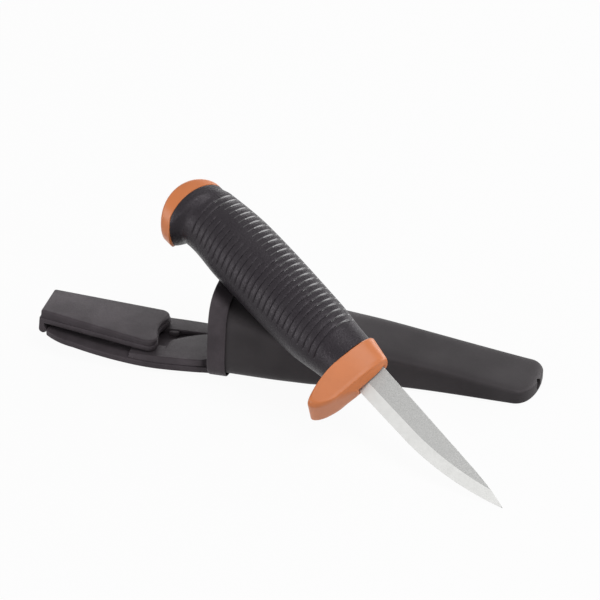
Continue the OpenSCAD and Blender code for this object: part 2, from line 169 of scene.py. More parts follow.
def joinAll(name, pieces):
    bpy.ops.object.select_all(action="DESELECT")
    for p in pieces:
        p.select_set(True)
    bpy.context.view_layer.objects.active = pieces[0]
    bpy.ops.object.join()
    pieces[0].name = pieces[0].data.name = name
    return pieces[0]


def twoFinishes(piece, main, other, wanted):  # faces that are wanted get the other finish
    piece.data.materials.append(main)
    piece.data.materials.append(other)
    bpy.ops.object.mode_set(mode="EDIT")
    faces = bmesh.from_edit_mesh(piece.data)
    turn = faces.verts.layers.float["turn"]
    for f in faces.faces:
        f.material_index = 1 if wanted(f, min(v[turn] for v in f.verts)) else 0
    bmesh.update_edit_mesh(piece.data)
    bpy.ops.object.mode_set(mode="OBJECT")


def settle(piece, place, smoothAngle):
    onlyThis(piece)
    piece.matrix_world = place
    bpy.ops.object.transform_apply(location=True, rotation=True, scale=True)
    bpy.ops.object.shade_smooth_by_angle(angle=math.radians(smoothAngle))
    return piece


# Finishes

noiseSpan = (0.35, 0.65)  # most values of a noise lie between these


def finish(name, look):
    material = bpy.data.materials.new(name)
    material.use_nodes = True
    nodes, links = material.node_tree.nodes, material.node_tree.links
    shader = nodes["Principled BSDF"]
    shader.inputs["Metallic"].default_value = look.get("metal", 0.0)
    shader.inputs["Specular IOR Level"].default_value = look.get("gloss", 0.5)
    shader.inputs["Specular Tint"].default_value = (*look.get("tint", (1.0, 1.0, 1.0)), 1.0)
    place = nodes.new("ShaderNodeTexCoord")
    patches = nodes.new("ShaderNodeTexNoise")  # broad, faint patches in the colour
    patches.inputs["Scale"].default_value = look["patchScale"]
    patches.inputs["Detail"].default_value = 3.0
    tint = nodes.new("ShaderNodeValToRGB")
    for end, at, shade in zip(tint.color_ramp.elements, noiseSpan, (look["dark"], look["light"])):
        end.position = at
        end.color = (*shade, 1.0)
    links.new(place.outputs["Object"], patches.inputs["Vector"])
    links.new(patches.outputs["Fac"], tint.inputs["Fac"])
    links.new(tint.outputs["Color"], shader.inputs["Base Color"])
    grain = nodes.new("ShaderNodeTexNoise")  # moulded or blasted surface
    grain.inputs["Scale"].default_value = look["grainScale"]
    grain.inputs["Detail"].default_value = 4.0
    links.new(place.outputs["Object"], grain.inputs["Vector"])
    bump = nodes.new("ShaderNodeBump")
    bump.inputs["Strength"].default_value = look["grain"]
    bump.inputs["Distance"].default_value = look.get("deep", 0.0001)
    links.new(grain.outputs["Fac"], bump.inputs["Height"])
    links.new(bump.outputs["Normal"], shader.inputs["Normal"])
    sheen = nodes.new("ShaderNodeMapRange")
    speckle = look.get("speckle", 0.04)
    sheen.inputs["From Min"].default_value, sheen.inputs["From Max"].default_value = noiseSpan
    sheen.inputs["To Min"].default_value = look["rough"] - speckle
    sheen.inputs["To Max"].default_value = look["rough"] + speckle
    links.new(grain.outputs["Fac"], sheen.inputs["Value"])
    links.new(sheen.outputs["Result"], shader.inputs["Roughness"])
    return material


orangePlastic = finish("orangePlastic", {
    "dark": (0.490, 0.153, 0.050), "light": (0.545, 0.172, 0.058), "rough": 0.34, "gloss": 0.36,
    "patchScale": 60.0, "grainScale": 2500.0, "grain": 0.15})
gripRubber = finish("gripRubber", {
    "dark": (0.0120, 0.0095, 0.0122), "light": (0.0165, 0.0140, 0.0166), "rough": 0.38, "gloss": 0.25,
    "tint": (1.0, 0.93, 1.0), "speckle": 0.12,
    "patchScale": 90.0, "grainScale": 1300.0, "grain": 0.8, "deep": 0.00025})
grooveRubber = finish("grooveRubber", {
    "dark": (0.0120, 0.0095, 0.0122), "light": (0.0175, 0.0142, 0.0178), "rough": 0.22, "gloss": 1.0,
    "patchScale": 90.0, "grainScale": 3000.0, "grain": 0.05})
sheathPlastic = finish("sheathPlastic", {
    "dark": (0.026, 0.0238, 0.0248), "light": (0.034, 0.0311, 0.0324), "rough": 0.52, "gloss": 0.2,
    "tint": (1.0, 0.9, 0.97), "patchScale": 70.0, "grainScale": 2600.0, "grain": 0.3})
holderPlastic = finish("holderPlastic", {
    "dark": (0.036, 0.0306, 0.0341), "light": (0.054, 0.0458, 0.0511), "rough": 0.5, "gloss": 0.16,
    "tint": (1.0, 0.92, 0.97), "speckle": 0.08,
    "patchScale": 110.0, "grainScale": 2000.0, "grain": 0.5, "deep": 0.00015})
satinSteel = finish("satinSteel", {
    "dark": (0.27, 0.27, 0.266), "light": (0.35, 0.35, 0.344), "rough": 0.55, "metal": 1.0,
    "patchScale": 2600.0, "grainScale": 3500.0, "grain": 0.06})
groundSteel = finish("groundSteel", {
    "dark": (0.585, 0.585, 0.573), "light": (0.62, 0.62, 0.608), "rough": 0.42, "metal": 1.0,
    "patchScale": 300.0, "grainScale": 2500.0, "grain": 0.03})
print("stage: finishes made")


# Handle, along +X to the guard's front at x = 0, spine towards +Y, shown side up

handle = {
    "back": -118.3, "neck": -12.5, "square": 2.15,
    "heights": [(-108.9, 32.2), (-104.7, 28.2), (-81.5, 30.7), (-35.0, 29.3), (-12.5, 24.4)],
    "thicknesses": [(-108.9, 27.7), (-104.7, 24.5), (-81.5, 26.2), (-35.0, 25.6), (-12.5, 22.0)],
    "sets": [(-108.9, -3.5), (-104.7, -0.3), (-81.5, 0.0), (-35.0, -1.5), (-12.5, -1.3)],
    "buttRadius": 24.9, "buttSet": -3.5, "capThickness": 6.2,
    "seamRadius": 48.0, "seamSet": -1.3, "seamHook": 1.8, "hookFrom": 12.0, "hookRun": 6.0,
}


def handleSpot(x, share, inset=0.0):
    a = 2 * math.pi * share
    half = throughKeys(x, handle["heights"]) / 2 - inset
    deep = throughKeys(x, handle["thicknesses"]) / 2 - inset
    y = throughKeys(x, handle["sets"]) + half * squarer(math.cos(a), handle["square"])
    return Vector((x, y, deep * squarer(math.sin(a), handle["square"])))


def buttEnd(y):
    return handle["back"] - bow(0.0, handle["buttRadius"], y - handle["buttSet"])


def capSeam(y):
    d = y - handle["seamSet"]
    turned = ease((-d - handle["hookFrom"]) / handle["hookRun"])
    hook = handle["seamHook"] * turned  # the seam turns in at the finger end
    return handle["back"] + handle["capThickness"] + hook - bow(0.0, handle["seamRadius"], d)


grip = {
    "points": 240, "pitch": 3.02, "first": -24.0, "count": 27, "width": 0.92, "depth": 0.5, "lean": 3.2,
    "profile": ((-1.4, 0.0), (-0.78, 0.0), (-0.6, 0.06), (-0.42, 0.22), (-0.24, 0.48), (-0.06, 0.85),
                (0.06, 1.0), (0.16, 0.95), (0.3, 0.4), (0.42, 0.06), (0.52, 0.0)),
    "from": 20.0, "fade": 8.0,  # where a groove starts and ends, in degrees from the spine
    "to": [(-100.0, 154.0), (-70.0, 159.0), (-50.0, 154.0), (-36.0, 149.0), (-24.0, 152.0)],
    "panelAngle": 76.0, "panelHalf": 13.5, "panelSoft": 2.5, "panelGrooves": (14, 24),
    "polished": (-0.46, 0.04), "polishedAbove": 0.25, "smooth": 50,
    "seamRun": -108.2, "seamGap": 0.05, "seamInset": 0.25, "insetRun": 0.1, "butt": 1.4, "front": 0.7,
}


def grooveShare(share, k):
    a = 360.0 * share
    side = 360.0 - a if a > 180.0 else a
    end = throughKeys(grip["first"] - k * grip["pitch"], grip["to"])
    depth = ease((side - grip["from"]) / grip["fade"]) * ease((end - side) / grip["fade"])
    first, last = grip["panelGrooves"]
    if first <= k <= last:  # bare panel on the shown side
        depth *= ease((abs(a - grip["panelAngle"]) - grip["panelHalf"]) / grip["panelSoft"])
    return depth


def grooveLean(share):  # a groove runs forward towards the finger side
    return grip["lean"] * ((1 - math.cos(2 * math.pi * share)) / 2) ** 3


def isPolished(face, share):  # one wall of each groove shines at the spine
    k = (grip["first"] - face.calc_center_median().x + grooveLean(share)) / grip["pitch"]
    off = (round(k) - k) * grip["pitch"] / grip["width"]
    low, high = grip["polished"]
    wall = low < off < high and -0.5 < k < grip["count"] - 0.5
    return wall and math.cos(2 * math.pi * share) > grip["polishedAbove"]


def makeGrip():
    rings = []
    for t in (0.0, 0.03, 0.1, 0.25, 0.5, 0.75, 1.0):  # from the curved seam to a flat ring
        def seamSpot(share, t=t):
            seam = capSeam(handleSpot(handle["back"], share).y) + grip["seamGap"]
            inset = grip["seamInset"] * max(0.0, 1 - t / grip["insetRun"]) ** 2
            return handleSpot(mix(seam, grip["seamRun"], t), share, inset)
        rings.append(seamSpot)
    lastGroove = grip["first"] - (grip["count"] - 1) * grip["pitch"]
    for i in range(1, 10):
        x = mix(grip["seamRun"], lastGroove - grip["butt"], i / 9)
        rings.append(lambda share, x=x: handleSpot(x, share))
    for k in range(grip["count"] - 1, -1, -1):
        centre = grip["first"] - k * grip["pitch"]
        for off, deep in grip["profile"]:
            rings.append(lambda share, x=centre + off * grip["width"], d=deep * grip["depth"], k=k:
                         handleSpot(x + grooveLean(share), share, d * grooveShare(share, k)))
    first, last = grip["first"] + grip["front"], handle["neck"] + grip["seamGap"]
    for t in (0.12, 0.3, 0.5, 0.75, 1.0):  # from the first groove to the guard
        rings.append(lambda share, t=t: handleSpot(mix(first + grooveLean(share), last, t), share))
    piece = pullRings("gripSleeve", grip["points"], rings)
    twoFinishes(piece, gripRubber, grooveRubber, isPolished)
    return piece


gripPiece = settle(makeGrip(), knifePlace, grip["smooth"])
print("stage: grip pulled")

cap = {"points": 240, "rounding": 1.3, "steps": 8, "seamInset": 0.2, "insetRun": 0.04, "least": 0.1}
guard = {
    "points": 240, "depth": 12.5, "length": 39.2, "thickness": 21.8, "offset": 7.8,
    "square": 3.0, "fingerRound": 2.8, "slope": 0.37, "lean": 0.18,
    "dome": 1.9, "edge": 1.3, "backEdge": 0.5, "frontSwell": 0.05, "smooth": 32,
    "lows": [(-12.5, -9.8), (-12.2, -13.2), (-11.3, -18.6), (-9.8, -23.8), (-8.4, -27.0), (-7.2, -27.9),
             (-5.6, -27.2), (-4.2, -25.5), (-3.0, -22.8), (-2.2, -19.8), (-1.7, -16.6), (0.0, -9.0)],
    "sections": [0.5, 0.8, 1.2, 1.7, 2.2, 2.7, 3.2, 3.7, 4.1, 4.5,
                 4.9, 5.3, 5.7, 6.2, 6.8, 7.4, 7.9, 8.4, 8.8, 9.1],
    "taperFrom": 0.6, "domeRings": 14, "fingerCut": 0.3, "sideShare": 0.5, "endShare": 0.15,
    "slot": (14.8, 4.3), "slotDepth": 1.8, "slotMiddle": -0.2, "slotLong": 10.0,
}


def makeCap():
    rings = []
    for t in (0.0, 0.04, 0.3, 0.6, 1.0):  # side wall between seam and rounding
        def sideSpot(share, t=t):
            p = handleSpot(handle["back"], share, cap["seamInset"] * max(0.0, 1 - t / cap["insetRun"]))
            low = min(buttEnd(p.y) + cap["rounding"], capSeam(p.y) - cap["least"])
            return Vector((mix(capSeam(p.y), low, t), p.y, p.z))
        rings.append(sideSpot)
    for i in range(1, cap["steps"] + 1):
        a = math.pi / 2 * i / cap["steps"]
        inset, rise = cap["rounding"] * (1 - math.cos(a)), cap["rounding"] * (1 - math.sin(a))

        def edgeSpot(share, inset=inset, rise=rise):
            p = handleSpot(handle["back"], share, inset)
            return Vector((min(buttEnd(p.y) + rise, capSeam(p.y) - cap["least"]), p.y, p.z))
        rings.append(edgeSpot)
    for size in (0.9, 0.8, 0.7, 0.55, 0.4, 0.25, 0.12, 0.04):  # the rounded end
        def endSpot(share, size=size):
            p = handleSpot(handle["back"], share, cap["rounding"])
            y = mix(handle["buttSet"], p.y, size)
            return Vector((buttEnd(y), y, p.z * size))
        rings.append(endSpot)
    return pullRings("buttCap", cap["points"], rings)


def guardSpot(x, half, cut, share):
    middle = -guard["offset"]
    a = 2 * math.pi * share
    if math.cos(a) >= 0:  # oval at the spine
        reach = guard["length"] / 2 - guard["lean"] * (x + guard["depth"]) - cut
        n = guard["square"]
        return Vector((x, middle + reach * squarer(math.cos(a), n), half * squarer(math.sin(a), n)))
    reach = middle - throughKeys(x, guard["lows"]) - min(cut, guard["fingerCut"])
    r = min(guard["fingerRound"], half * 0.9, reach * 0.5)
    side = 1 if math.sin(a) > 0 else -1
    t = (share - 0.25) * 4 if side > 0 else (0.75 - share) * 4  # 0 at the middle, 1 at the far end
    straight, end = guard["sideShare"], guard["endShare"]
    if t < straight:
        return Vector((x, middle - (reach - r) * t / straight, side * half))
    if t > 1 - end:
        return Vector((x, middle - reach, side * (half - r) * (1 - t) / end))
    bend = math.pi / 2 * (t - straight) / (1 - straight - end)
    low = middle - reach + r * (1 - math.sin(bend))
    return Vector((x, low, side * (half - r * (1 - math.cos(bend)))))


def makeGuard():
    backHalf = guard["thickness"] / 2
    frontHalf = backHalf - guard["slope"] * (guard["depth"] - guard["dome"])
    neck, dome, edge, backEdge = handle["neck"], guard["dome"], guard["edge"], guard["backEdge"]
    steps = []
    for a in (0.0, 0.4, 0.8, 1.2):  # rounded back edge
        cut = backEdge * (1 - math.sin(a))
        steps.append((neck + backEdge * (1 - math.cos(a)), backHalf - cut, cut))
    taper = guard["taperFrom"]
    for d in guard["sections"]:
        t = (d - taper) / (guard["depth"] - dome - 2 * taper)
        steps.append((neck + d, mix(backHalf, frontHalf, t), 0.0))
    for a in (0.25, 0.5, 0.75, 1.0, 1.25, math.pi / 2):  # rounded front edge
        cut = edge * (1 - math.cos(a))
        steps.append((-dome - edge * (1 - math.sin(a)), frontHalf + guard["frontSwell"] - cut, cut))
    for i in range(1, guard["domeRings"]):
        t = 1 - i / guard["domeRings"]
        steps.append((-dome * t * t, (frontHalf - edge) * t, edge + frontHalf * (1 - t)))
    rings = [lambda share, s=s: guardSpot(*s, share) for s in steps]
    piece = pullRings("guard", guard["points"], rings)
    bpy.ops.object.select_all(action="DESELECT")
    bpy.ops.mesh.primitive_cube_add(
        size=1.0, scale=(guard["slotLong"], *guard["slot"]),
        location=(guard["slotLong"] / 2 - guard["slotDepth"], guard["slotMiddle"], 0.0))
    cutWith(piece, bpy.context.object)
    return piece


core = settle(joinAll("handleCore", [makeGuard(), makeCap()]), knifePlace, guard["smooth"])
core.data.materials.append(orangePlastic)
print("stage: guard and butt cap pulled")


# Blade: flat sides, ground bevels to a thin edge

blade = {
    "length": 75.6, "heel": -1.75, "spine": 6.8, "height": 14.0, "thickness": 2.5,
    "straight": 30.0, "dip": 1.1, "bevel": 4.9, "spineStraight": 0.76, "spineDrop": 0.41,
    "edge": 0.08, "spineChamfer": 0.2, "tipBevel": 0.8, "tipSet": 0.02, "tipBow": 0.72,
    "corners": 8, "stations": 80, "crowd": 1.5, "groundTilt": (0.12, 0.6), "spineBand": 0.3, "smooth": 7,
}


def edgeLine(x, inset):
    heelEdge = blade["spine"] - blade["height"]
    belly = heelEdge - blade["dip"]
    run = blade["length"] - blade["straight"]
    radius = (run * run + belly * belly) / (-2 * belly)
    if x < blade["straight"]:
        return mix(heelEdge, belly, (x - blade["heel"]) / (blade["straight"] - blade["heel"])) + inset
    d = x - blade["straight"]
    t = math.asin(min(d / (radius - inset), 1.0)) / math.asin(run / radius)
    inner = radius - inset * mix(1.0, blade["tipBevel"], min(t, 1.0) ** 2)
    return belly + radius - math.sqrt(max(inner * inner - d * d, 0.0))


def spineLine(x):
    bend = blade["length"] * blade["spineStraight"]
    low = blade["spine"] * blade["spineDrop"]
    if x < bend:
        return mix(blade["spine"], low, (x - blade["heel"]) / (bend - blade["heel"]))
    t = (x - bend) / (blade["length"] - bend)
    return (1 - t) ** 2 * low + 2 * t * (1 - t) * low * blade["tipBow"]


def bladeSpot(x, share):
    edge, spine = edgeLine(x, 0.0), spineLine(x)
    shoulder = min(edgeLine(x, blade["bevel"]), spine - blade["tipSet"])
    full = max(edgeLine(x, blade["bevel"]) - edge, 0.01)
    half = blade["thickness"] / 2 * min((shoulder - edge) / full, 1.0)
    thin = min(blade["edge"] / 2, half)
    chamfer = min(blade["spineChamfer"], half * 0.5, (spine - shoulder) * 0.5)
    corners = [(spine, half - chamfer), (spine - chamfer, half), (shoulder, half), (edge, thin),
               (edge, -thin), (shoulder, -half), (spine - chamfer, -half), (spine, chamfer - half)]
    y, z = corners[int(share * blade["corners"])]
    return Vector((x, y, z))


def isGround(face):
    least, most = blade["groundTilt"]
    middle = face.calc_center_median()
    tilted = least < abs(face.normal.y) < most and abs(face.normal.z) > most
    return tilted and middle.y < spineLine(middle.x) - blade["spineBand"]


def makeBlade():
    places = []
    for i in range(blade["stations"] + 1):
        t = i / blade["stations"]
        along = 1 - (1 - t) ** blade["crowd"]
        places.append(mix(blade["heel"], blade["length"] - blade["tipSet"], along))
    rings = [lambda share, x=x: bladeSpot(x, share) for x in places]
    piece = pullRings("blade", blade["corners"], rings)
    twoFinishes(piece, satinSteel, groundSteel, lambda face, share: isGround(face))
    return piece


bladePiece = settle(makeBlade(), knifePlace, blade["smooth"])
print("stage: blade drawn")


# Sheath body: squared oval sections along X, lower line on the floor

sheath = {
    "points": 144, "length": 139.2, "wall": 2.2, "rim": 0.8, "tilt": 0.065, "rise": 1.2,
    "square": (3.8, 6.2), "squareFrom": 35.0, "squareRun": 45.0, "slant": 0.22,
    "pocket": 43.0, "tube": 70.0,
    "widths": [(0.0, 41.3), (43.0, 38.2), (70.0, 26.5), (139.2, 25.7)],
    "heights": [(0.0, 36.6), (43.0, 24.2), (70.0, 20.2), (139.2, 8.1),
                (208.4, -4.0)],  # past the tip, so that the top keeps its slope there
    "sets": [(0.0, -0.15), (43.0, 0.7), (70.0, 4.7), (139.2, 4.0)],
    "near": (10.0, 20.0), "far": (5.5, 5.5),  # rounding of the tip's corners, along and across
    "soft": 2.4, "tipStop": 0.985,
    "drain": 4.6, "drainPlace": (139.2, 3.8, 4.2), "drainPoints": 48, "sliver": 0.005, "smooth": 40,
}


def ovalSpot(x, width, height, y, z, lean, share):
    a = 2 * math.pi * share
    # The tube is squarer than the mouth, and its top falls to the near side.
    tube = ease((x - sheath["squareFrom"]) / sheath["squareRun"])
    n = mix(*sheath["square"], tube)
    side, up = squarer(math.cos(a), n), 0.5 + squarer(math.sin(a), n) / 2
    h = z + height * up * (1 - tube * sheath["slant"] * (1 - side) / 2)
    return Vector((x + lean * h, y + width / 2 * side, h))


def tipCut(x, run, length):
    t = min(max((x - length + run) / run, 0.0), 1.0)
    return 1 - math.sqrt(1 - t * t)


def sheathSpot(x, share, wall):
    length = sheath["length"] - wall
    near = (sheath["near"][1] - wall) * tipCut(x, sheath["near"][0] - wall, length)
    far = (sheath["far"][1] - wall) * tipCut(x, sheath["far"][0] - wall, length)
    soft = sheath["soft"] * tipCut(x, sheath["far"][0] - wall, length)
    return ovalSpot(x, throughKeys(x, sheath["widths"]) - 2 * wall - near - far,
                    throughKeys(x, sheath["heights"]) - 2 * wall - 2 * soft,
                    throughKeys(x, sheath["sets"]) + (near - far) / 2,
                    sheath["rise"] * (1 - ease(x / sheath["tube"])) + wall + soft,
                    sheath["tilt"] * (1 - x / sheath["length"]), share)


def sheathPlaces(wall, fine):
    length = sheath["length"] - wall
    roundFrom = length - sheath["near"][0] + wall
    places = [sheath["rim"]]
    for start, end, rings in ((sheath["rim"], sheath["pocket"], 6 * fine),
                              (sheath["pocket"], sheath["tube"], 9 * fine),
                              (sheath["tube"], roundFrom, 8 * fine)):
        places += [mix(start, end, i / rings) for i in range(1, rings + 1)]
    rings = 11 * fine
    for i in range(1, rings + 1):  # closer together towards the tip
        places.append(mix(roundFrom, length, math.sin(math.pi / 2 * i / rings) * sheath["tipStop"]))
    return places


def makeSheath():
    wall = sheath["wall"]
    steps = [(x, wall) for x in reversed(sheathPlaces(wall, 1))]  # inside, from the tip to the rim
    steps += [(x, 0.0) for x in sheathPlaces(0.0, 2)]
    rings = [lambda share, s=s: sheathSpot(s[0], share, s[1]) for s in steps]
    piece = pullRings("sheathBody", sheath["points"], rings)
    bpy.ops.object.select_all(action="DESELECT")
    bpy.ops.mesh.primitive_cylinder_add(
        vertices=sheath["drainPoints"], radius=sheath["drain"] / 2, depth=4 * wall,
        location=sheath["drainPlace"], rotation=(0.0, math.pi / 2, 0.0))
    cutWith(piece, bpy.context.object)
    bpy.ops.object.mode_set(mode="EDIT")
    bpy.ops.mesh.select_all(action="SELECT")
    bpy.ops.mesh.quads_convert_to_tris(quad_method="BEAUTY", ngon_method="BEAUTY")
    bpy.ops.mesh.dissolve_degenerate(threshold=sheath["sliver"])  # thin faces round the drain
    bpy.ops.object.mode_set(mode="OBJECT")
    return piece


sheathPiece = settle(makeSheath(), sheathPlace, sheath["smooth"])
sheathPiece.data.materials.append(sheathPlastic)
print("stage: sheath pulled")


# Belt holder: collar, hanger plate, two rails and a small stop

holder = {
    "collar": (43.4, 39.6, 8.0), "collarWall": 1.15, "collarEdge": 0.8, "lip": 3.3,
    "lipSoft": (0.2, 0.3), "seatGap": 0.1, "frontEdge": 0.3, "frontWall": 0.45, "gap": 2.5, "flare": 2.6,
    "lean": 0.053, "collarFoot": 0.5, "collarShift": 0.4,
    "hanger": 75.0, "start": 1.8, "floor": 1.95, "flat": 22.0, "rise": 6.2, "riseCurve": 1.5, "plate": 2.6,
    "width": 36.2, "bow": 225.0, "widest": 27.0, "endBow": 24.0, "endRun": 15.0, "soft": 0.45,
    "rail": 6.9, "farStep": 0.2, "railRun": 35.0, "draft": 2.2, "railSoft": 0.4, "sink": 0.02,
    "railRings": [-31.0, -27.0, -24.0, -22.0], "intoCollar": 0.5, "cornerPoints": 6,
    "channel": 13.5, "notchMouth": -20.0, "notchTip": -4.0,
    "notchStep": 1.0, "notchCurve": 1.6, "notchGap": 0.05,
    "relief": 1.2, "reliefFoot": 0.4, "reliefFrom": -3.2, "reliefRun": 2.4,
    "stop": (-20.75, 6.2, 5.4), "stopSize": (4.5, 2.6, 2.4), "stopSoft": 0.3, "smooth": 40,
}


def collarSpot(x, cut, share):
    width, height, long = holder["collar"]
    height += holder["flare"] * (1 - x / long)
    p = ovalSpot(x + holder["collarShift"], width - 2 * cut, height - 2 * cut,
                 0.0, cut - holder["collarFoot"], holder["lean"], share)
    p.z = max(p.z, 0.0)
    return p


def makeCollar():
    long, edge, wall = holder["collar"][2], holder["collarEdge"], holder["collarWall"]
    inner, thin, front = long - holder["gap"], holder["frontEdge"], holder["frontWall"]
    steps = [(inner, wall), (inner, front), (long, front), (long, thin)]  # the front rim stands clear
    for a in (0.4, 0.8, 1.2, math.pi / 2):
        steps.append((long - thin * (1 - math.cos(a)), thin * (1 - math.sin(a))))
    steps += [(long * 0.66, 0.0), (long * 0.33, 0.0)]
    for a in (math.pi / 2, 1.2, 0.8, 0.4, 0.0):
        steps.append((edge * (1 - math.cos(a)), edge * (1 - math.sin(a))))
    lip, seat = holder["lip"], sheath["rim"] - holder["seatGap"]
    softRun, softCut = holder["lipSoft"]
    steps += [(0.0, lip - softCut), (softRun, lip), (seat, lip), (seat, wall)]
    rings = [lambda share, s=s: collarSpot(*s, share) for s in steps]
    return pullRings("collar", sheath["points"], rings, "joined")


def plateHalf(x):
    endX = holder["endRun"] - holder["hanger"]
    wide = bow(holder["width"] / 2, holder["bow"], max(x, endX) + holder["widest"])
    return wide if x > endX else bow(wide, holder["endBow"], x - endX)


def plateFloor(x):
    t = max(-x - holder["flat"], 0.0) / (holder["hanger"] - holder["flat"])
    return holder["floor"] + holder["rise"] * t ** holder["riseCurve"]


def plateSpot(x, share, shrink=0.0):
    half, low = plateHalf(x) - shrink, plateFloor(x) + shrink
    top = low + holder["plate"] - 2 * shrink
    corners = [(half, top), (-half, top), (-half, low), (half, low)]
    y, z = softQuad(share, holder["cornerPoints"], corners, holder["soft"])
    return Vector((x, y, z))


def railInner(x):
    side = holder["channel"] / 2
    mouth, tip = holder["notchMouth"], holder["notchTip"]
    if x < mouth:
        return mix(-side, -side / 4, ease((x - mouth) / holder["notchStep"] + 1))
    t = min((x - mouth) / (tip - mouth), 1.0)
    return mix(-side / 4, side - holder["notchGap"], 1 - (1 - t) ** holder["notchCurve"])


def railSpot(x, near, share, shrink=0.0):
    foot, top = plateFloor(x) - holder["sink"], holder["rail"] - shrink
    out = plateHalf(x) + holder["sink"] - shrink  # flush with the plate's lower edge
    up = plateHalf(x) - holder["draft"] - shrink
    if near:
        inner = railInner(x) - shrink
        drawn = ease((x - holder["reliefFrom"]) / holder["reliefRun"])
        relief = holder["relief"] * drawn  # the wall draws in before the collar
        low = relief * holder["reliefFoot"]
        corners = [(inner, top), (relief - up, top), (low - out, foot), (inner, foot)]
    else:
        inner = holder["channel"] / 2 + shrink
        top += holder["farStep"]
        corners = [(up, top), (inner, top), (inner, foot), (out, foot)]
    y, z = softQuad(share, holder["cornerPoints"], corners, holder["railSoft"])
    return Vector((x, y, z))


def roundedStart(x):
    return [(x, 0.3), (x + 0.15, 0.08), (x + 0.4, 0.0)]  # places, and how much smaller the piece is there


def makeRail(name, near):
    mouth, tip = holder["notchMouth"], holder["notchTip"]
    along = holder["railRings"] + [mouth - holder["notchStep"] * (1 - i / 5) for i in range(6)]
    along += [mix(mouth, tip, i / 20) for i in range(1, 21)]
    along += [holder["reliefFrom"] + holder["reliefRun"] * i / 4 for i in range(5)]
    along += [0.0, holder["intoCollar"]]
    places = roundedStart(-holder["railRun"]) + [(x, 0.0) for x in along]
    rings = [lambda share, p=p: railSpot(p[0], near, share, p[1]) for p in places]
    return pullRings(name, 4 * holder["cornerPoints"], rings)


def makePlate():
    places = roundedStart(holder["start"] - holder["hanger"])
    full = places[-1][0]
    places += [(mix(full, holder["intoCollar"], i / 40), 0.0) for i in range(1, 41)]
    rings = [lambda share, p=p: plateSpot(p[0], share, p[1]) for p in places]
    return pullRings("plate", 4 * holder["cornerPoints"], rings)


def makeStop():
    bpy.ops.object.select_all(action="DESELECT")
    bpy.ops.mesh.primitive_cube_add(size=1.0, location=holder["stop"], scale=holder["stopSize"])
    piece = bpy.context.object
    bpy.ops.object.transform_apply(location=True, rotation=True, scale=True)
    bpy.ops.object.mode_set(mode="EDIT")
    bpy.ops.mesh.bevel(offset=holder["stopSoft"], segments=3)
    bpy.ops.object.mode_set(mode="OBJECT")
    return piece


holderPiece = joinAll("beltHolder", [makeCollar(), makePlate(), makeRail("nearRail", True),
                                     makeRail("farRail", False), makeStop()])
settle(holderPiece, sheathPlace, holder["smooth"])
holderPiece.data.materials.append(holderPlastic)
print("stage: belt holder joined")


# Belt clip, in its own frame at the bend: X along the bar, Z away from the plate

clip = {
    "hinge": (-79.4, 0.0, 9.5), "slope": 6.0, "length": 51.4,
    "under": 3.1, "thickness": 6.1, "thin": 1.5, "splitAt": 0.4,
    "bendWidth": 19.8, "endWidth": 28.0, "step": 0.5, "wave": 1.9,
    "endRound": 3.6, "corner": 0.8, "wall": 1.8, "edge": 0.9,
    "bendInside": [(1.8, 0.4), (0.9, 1.4), (0.6, 2.4)], "bendRise": 1.2, "smooth": 40,
}


def clipOutline(cut):
    half = clip["endWidth"] / 2 - cut
    flat = half - clip["endRound"]
    tip = clip["length"] - cut
    bend = clip["bendWidth"] / 2 - cut
    back = cut - clip["wall"]
    corner = clip["corner"]
    line = []
    for i in range(5):
        a = math.pi + math.pi / 2 * i / 4
        line.append((back + corner + corner * math.cos(a), -bend + corner + corner * math.sin(a)))
    for i in range(1, 10):
        line.append((mix(back + corner, tip - clip["endRound"], i / 10), mix(-bend, -half, i / 10)))
    for i in range(9):
        a = -math.pi / 2 + math.pi / 2 * i / 8
        line.append((tip - clip["endRound"] * (1 - math.cos(a)), -flat + clip["endRound"] * math.sin(a)))
    wave = []
    for i in range(1, 12):
        y = mix(-flat, 0.0, i / 12)
        wave.append((tip - clip["wave"] / 2 * (1 + math.cos(math.pi * y / flat)), y))
    mirrored = [(x, -y) for x, y in reversed(line + wave)]
    return line + wave + [(tip - clip["wave"], 0.0)] + mirrored


def makeBar():
    count = len(clipOutline(0.0))
    low, high = clip["under"], clip["under"] + clip["thickness"]
    split = clip["splitAt"] * clip["thickness"]  # the lower part stands out by a step
    edge = clip["edge"]
    steps = [(0.5, 0.0, 0.0), (0.15, 0.0, 0.12), (0.0, 0.0, 0.5), (0.0, 0.0, split - 0.25),
             (0.12, 0.0, split - 0.05), (clip["step"], 0.0, split)]  # inset, on top or not, rise
    steps += [(clip["step"] + edge * (1 - math.cos(a)), 1.0, -edge * (1 - math.sin(a)))
              for a in (0.0, 0.35, 0.7, 1.05, 1.3, math.pi / 2)]

    def barSpot(share, step):
        cut, top, rise = step
        x, y = clipOutline(cut)[int(share * count)]
        fall = clip["thin"] * max(x, 0.0) / clip["length"]
        return Vector((x, y, (high - fall if top else low) + rise))

    return pullRings("bar", count, [lambda share, s=s: barSpot(share, s) for s in steps])


def makeBend():
    wall = clip["wall"]
    top = clip["under"] + clip["bendRise"]
    turns = [math.pi * (1 + i / 16) for i in range(17)]
    side = [(wall * math.cos(a), wall * math.sin(a)) for a in turns]
    side += clip["bendInside"] + [(0.7, top), (0.05 - wall, top)]
    half = clip["bendWidth"] / 2
    spots = []
    rims = ((0.0, 0.35), (0.12, 0.1), (0.4, 0.0))  # how far in, and how much is rounded off there
    sides = [(d - half, cut) for d, cut in rims] + [(half - d, cut) for d, cut in reversed(rims)]
    for y, shrink in sides:
        def bendSpot(share, y=y, shrink=shrink):
            x, z = side[int(share * len(side))]
            return Vector((x * (1 - shrink / wall), y, z if z > wall else z * (1 - shrink / wall)))
        spots.append(bendSpot)
    return pullRings("bend", len(side), spots)


